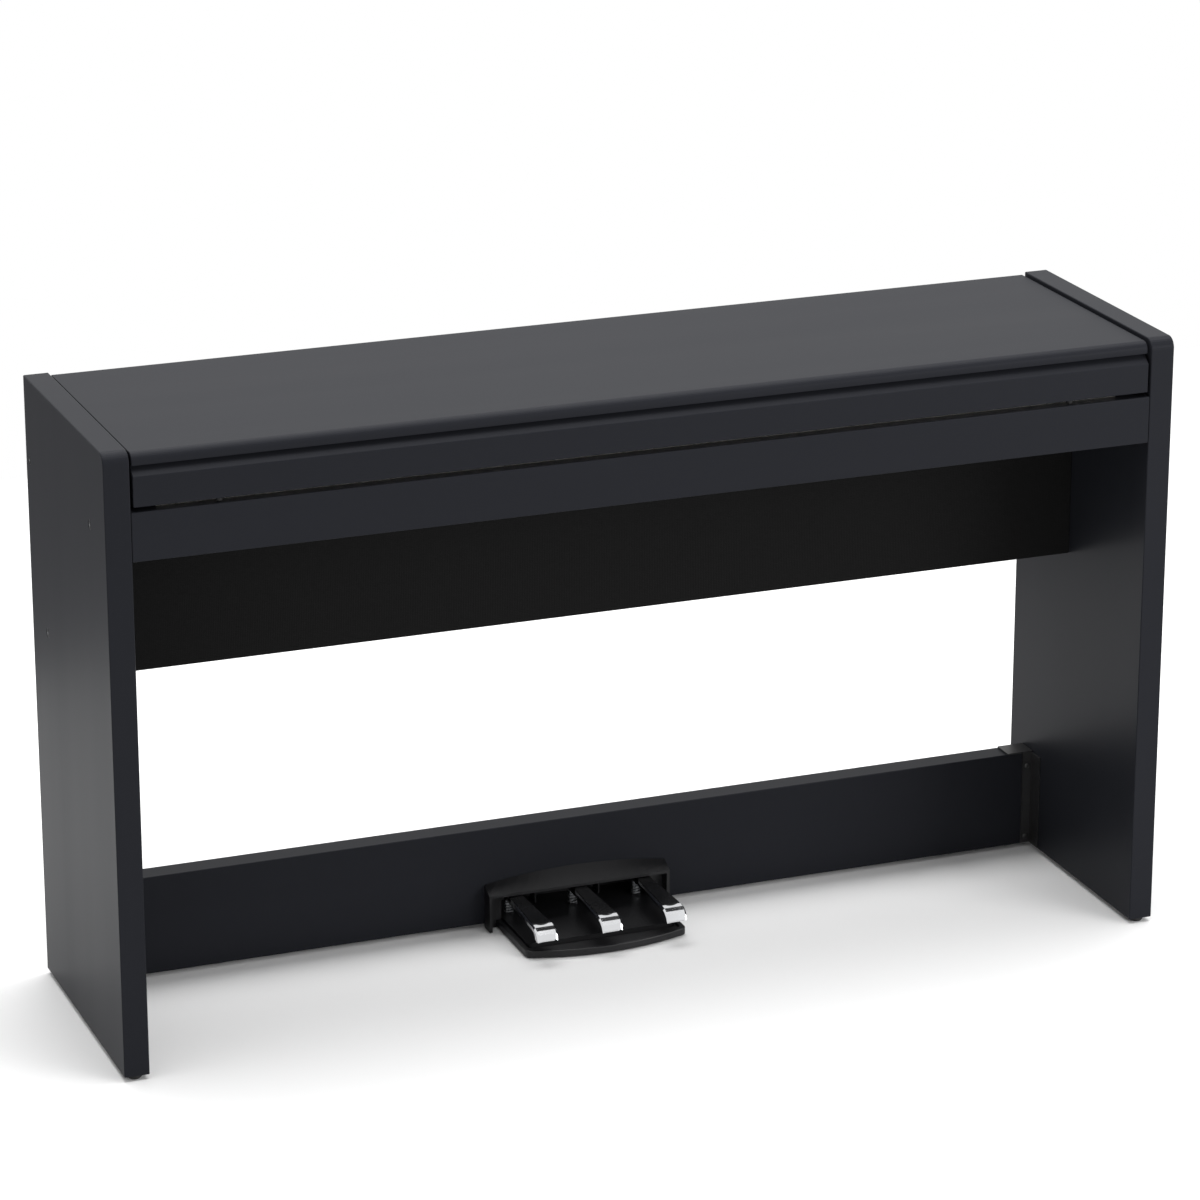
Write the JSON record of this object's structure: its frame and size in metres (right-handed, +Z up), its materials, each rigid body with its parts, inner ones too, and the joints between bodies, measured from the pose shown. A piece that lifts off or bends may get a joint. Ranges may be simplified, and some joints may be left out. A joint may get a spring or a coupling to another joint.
{
  "type": "digital piano",
  "caption": "Slim black cabinet digital piano: side boards, one-piece hinged lid, full weighted keyboard, speaker panel and a chrome pedal unit on a low board.",
  "frame": {"origin": "on the floor, under the middle of the cabinet's box", "axes": "+X along the keyboard towards the treble, -Y towards the player, +Z up"},
  "size_m": [1.355, 0.351, 0.772],
  "materials": {
    "black_board": "satin black laminate on board",
    "raw_board": "plain black-stained board",
    "grille_cloth": "black speaker cloth on a frame",
    "black_steel": "black powder coat",
    "chrome": "polished",
    "zinc_steel": "zinc plated",
    "black_plastic": "fine satin moulding",
    "natural_key": "satin off-white",
    "sharp_key": "matt black",
    "rubber": "matt",
    "red_felt": "pressed felt",
    "circuit_board": "lacquered board"
  },
  "bodies": {
    "cabinet": {"side_board_left": "black_board", "side_board_right": "black_board", "cheek_block_left": "black_board", "cheek_block_right": "black_board", "front_rail": "black_board", "pedal_board": "black_board", "key_bed": "raw_board", "rear_wall": "raw_board", "speaker_box": "raw_board", "grille_panel": "grille_cloth", "unit_bracket_left": "black_steel", "unit_bracket_right": "black_steel", "end_bracket_left": "black_steel", "end_bracket_right": "black_steel", "pedal_axle": "zinc_steel", "pedal_spring_left": "zinc_steel", "pedal_spring_middle": "zinc_steel", "pedal_spring_right": "zinc_steel", "speaker_left": "black_plastic", "speaker_right": "black_plastic", "key_frame": "black_plastic", "control_panel": "black_plastic", "jack_panel": "black_plastic", "pedal_base": "black_plastic", "pedal_cover": "black_plastic", "glide_front_left": "rubber", "glide_front_right": "rubber", "glide_rear_left": "rubber", "glide_rear_right": "rubber", "key_felt": "red_felt", "main_board": "circuit_board"},
    "lid": {"lid": "black_board", "lid_arm_left": "black_steel", "lid_arm_right": "black_steel", "lid_bumper_left": "rubber", "lid_bumper_right": "rubber"},
    "music_ledge": {"music_ledge": "black_board"},
    "power_button": {"power_button": "black_plastic"},
    "function_button_1": {"function_button_1": "black_plastic"},
    "function_button_2": {"function_button_2": "black_plastic"},
    "volume_knob": {"volume_knob": "zinc_steel"},
    "pedal_left": {"pedal_left": "chrome"},
    "pedal_middle": {"pedal_middle": "chrome"},
    "pedal_right": {"pedal_right": "chrome"},
    "naturals_bass": {"naturals_bass": "natural_key"},
    "sharps_bass": {"sharps_bass": "sharp_key"},
    "naturals_treble": {"naturals_treble": "natural_key"},
    "sharps_treble": {"sharps_treble": "sharp_key"},
    "key_C4": {"key_C4": "natural_key"},
    "key_Cs4": {"key_Cs4": "sharp_key"},
    "key_D4": {"key_D4": "natural_key"},
    "key_Ds4": {"key_Ds4": "sharp_key"},
    "key_E4": {"key_E4": "natural_key"},
    "key_F4": {"key_F4": "natural_key"},
    "key_Fs4": {"key_Fs4": "sharp_key"},
    "key_G4": {"key_G4": "natural_key"},
    "key_Gs4": {"key_Gs4": "sharp_key"},
    "key_A4": {"key_A4": "natural_key"},
    "key_As4": {"key_As4": "sharp_key"},
    "key_B4": {"key_B4": "natural_key"}
  },
  "joints": [
    {"name": "lid_hinge", "type": "hinge", "parent": "cabinet", "child": "lid", "pos_m": [0, 0.035, 0.7255], "axis": [-1, 0, 0], "range_deg": [0, 90]},
    {"name": "music_ledge_hinge", "type": "hinge", "parent": "lid", "child": "music_ledge", "pos_m": [0, -0.013, 0.7505], "axis": [1, 0, 0], "range_deg": [0, 90]},
    {"name": "volume_turn", "type": "hinge", "parent": "cabinet", "child": "volume_knob", "pos_m": [-0.56, 0.027, 0.74], "axis": [0, 0, 1], "range_deg": [-150, 150]},
    {"name": "power_button_press", "type": "slide", "parent": "cabinet", "child": "power_button", "axis": [0, 0, -1], "range_m": [0, 0.001], "stiffness_N_per_m": 300, "springref_m": -0.0015},
    {"name": "function_button_1_press", "type": "slide", "parent": "cabinet", "child": "function_button_1", "axis": [0, 0, -1], "range_m": [0, 0.001], "stiffness_N_per_m": 300, "springref_m": -0.0015},
    {"name": "function_button_2_press", "type": "slide", "parent": "cabinet", "child": "function_button_2", "axis": [0, 0, -1], "range_m": [0, 0.001], "stiffness_N_per_m": 300, "springref_m": -0.0015},
    {"name": "naturals_bass_press", "type": "hinge", "parent": "cabinet", "child": "naturals_bass", "pos_m": [0, 0.03, 0.7005], "axis": [1, 0, 0], "range_deg": [0, 3], "stiffness_Nm_per_rad": 11.5, "springref_deg": -14.32},
    {"name": "sharps_bass_press", "type": "hinge", "parent": "cabinet", "child": "sharps_bass", "pos_m": [0, 0.03, 0.7005], "axis": [1, 0, 0], "range_deg": [0, 3], "stiffness_Nm_per_rad": 6.4, "springref_deg": -14.32},
    {"name": "naturals_treble_press", "type": "hinge", "parent": "cabinet", "child": "naturals_treble", "pos_m": [0, 0.03, 0.7005], "axis": [1, 0, 0], "range_deg": [0, 3], "stiffness_Nm_per_rad": 11, "springref_deg": -14.32},
    {"name": "sharps_treble_press", "type": "hinge", "parent": "cabinet", "child": "sharps_treble", "pos_m": [0, 0.03, 0.7005], "axis": [1, 0, 0], "range_deg": [0, 3], "stiffness_Nm_per_rad": 6, "springref_deg": -14.32},
    {"name": "key_C4_press", "type": "hinge", "parent": "cabinet", "child": "key_C4", "pos_m": [-0.05875, 0.03, 0.7005], "axis": [1, 0, 0], "range_deg": [0, 3], "stiffness_Nm_per_rad": 0.5, "springref_deg": -14.32},
    {"name": "key_Cs4_press", "type": "hinge", "parent": "cabinet", "child": "key_Cs4", "pos_m": [-0.0492, 0.03, 0.7005], "axis": [1, 0, 0], "range_deg": [0, 3], "stiffness_Nm_per_rad": 0.4, "springref_deg": -14.32},
    {"name": "key_D4_press", "type": "hinge", "parent": "cabinet", "child": "key_D4", "pos_m": [-0.03525, 0.03, 0.7005], "axis": [1, 0, 0], "range_deg": [0, 3], "stiffness_Nm_per_rad": 0.5, "springref_deg": -14.32},
    {"name": "key_Ds4_press", "type": "hinge", "parent": "cabinet", "child": "key_Ds4", "pos_m": [-0.0213, 0.03, 0.7005], "axis": [1, 0, 0], "range_deg": [0, 3], "stiffness_Nm_per_rad": 0.4, "springref_deg": -14.32},
    {"name": "key_E4_press", "type": "hinge", "parent": "cabinet", "child": "key_E4", "pos_m": [-0.01175, 0.03, 0.7005], "axis": [1, 0, 0], "range_deg": [0, 3], "stiffness_Nm_per_rad": 0.5, "springref_deg": -14.32},
    {"name": "key_F4_press", "type": "hinge", "parent": "cabinet", "child": "key_F4", "pos_m": [0.01175, 0.03, 0.7005], "axis": [1, 0, 0], "range_deg": [0, 3], "stiffness_Nm_per_rad": 0.5, "springref_deg": -14.32},
    {"name": "key_Fs4_press", "type": "hinge", "parent": "cabinet", "child": "key_Fs4", "pos_m": [0.0205, 0.03, 0.7005], "axis": [1, 0, 0], "range_deg": [0, 3], "stiffness_Nm_per_rad": 0.4, "springref_deg": -14.32},
    {"name": "key_G4_press", "type": "hinge", "parent": "cabinet", "child": "key_G4", "pos_m": [0.03525, 0.03, 0.7005], "axis": [1, 0, 0], "range_deg": [0, 3], "stiffness_Nm_per_rad": 0.5, "springref_deg": -14.32},
    {"name": "key_Gs4_press", "type": "hinge", "parent": "cabinet", "child": "key_Gs4", "pos_m": [0.047, 0.03, 0.7005], "axis": [1, 0, 0], "range_deg": [0, 3], "stiffness_Nm_per_rad": 0.4, "springref_deg": -14.32},
    {"name": "key_A4_press", "type": "hinge", "parent": "cabinet", "child": "key_A4", "pos_m": [0.05875, 0.03, 0.7005], "axis": [1, 0, 0], "range_deg": [0, 3], "stiffness_Nm_per_rad": 0.5, "springref_deg": -14.32},
    {"name": "key_As4_press", "type": "hinge", "parent": "cabinet", "child": "key_As4", "pos_m": [0.0735, 0.03, 0.7005], "axis": [1, 0, 0], "range_deg": [0, 3], "stiffness_Nm_per_rad": 0.4, "springref_deg": -14.32},
    {"name": "key_B4_press", "type": "hinge", "parent": "cabinet", "child": "key_B4", "pos_m": [0.08225, 0.03, 0.7005], "axis": [1, 0, 0], "range_deg": [0, 3], "stiffness_Nm_per_rad": 0.5, "springref_deg": -14.32},
    {"name": "pedal_left_press", "type": "hinge", "parent": "cabinet", "child": "pedal_left", "pos_m": [-0.087, 0.15, 0.041], "axis": [1, 0, 0], "range_deg": [0, 4.5], "stiffness_Nm_per_rad": 12, "springref_deg": -5.73, "deforming": ["pedal_spring_left"]},
    {"name": "pedal_middle_press", "type": "hinge", "parent": "cabinet", "child": "pedal_middle", "pos_m": [0, 0.15, 0.041], "axis": [1, 0, 0], "range_deg": [0, 4.5], "stiffness_Nm_per_rad": 12, "springref_deg": -5.73, "deforming": ["pedal_spring_middle"]},
    {"name": "pedal_right_press", "type": "hinge", "parent": "cabinet", "child": "pedal_right", "pos_m": [0.087, 0.15, 0.041], "axis": [1, 0, 0], "range_deg": [0, 4.5], "stiffness_Nm_per_rad": 12, "springref_deg": -5.73, "deforming": ["pedal_spring_right"]}
  ]
}
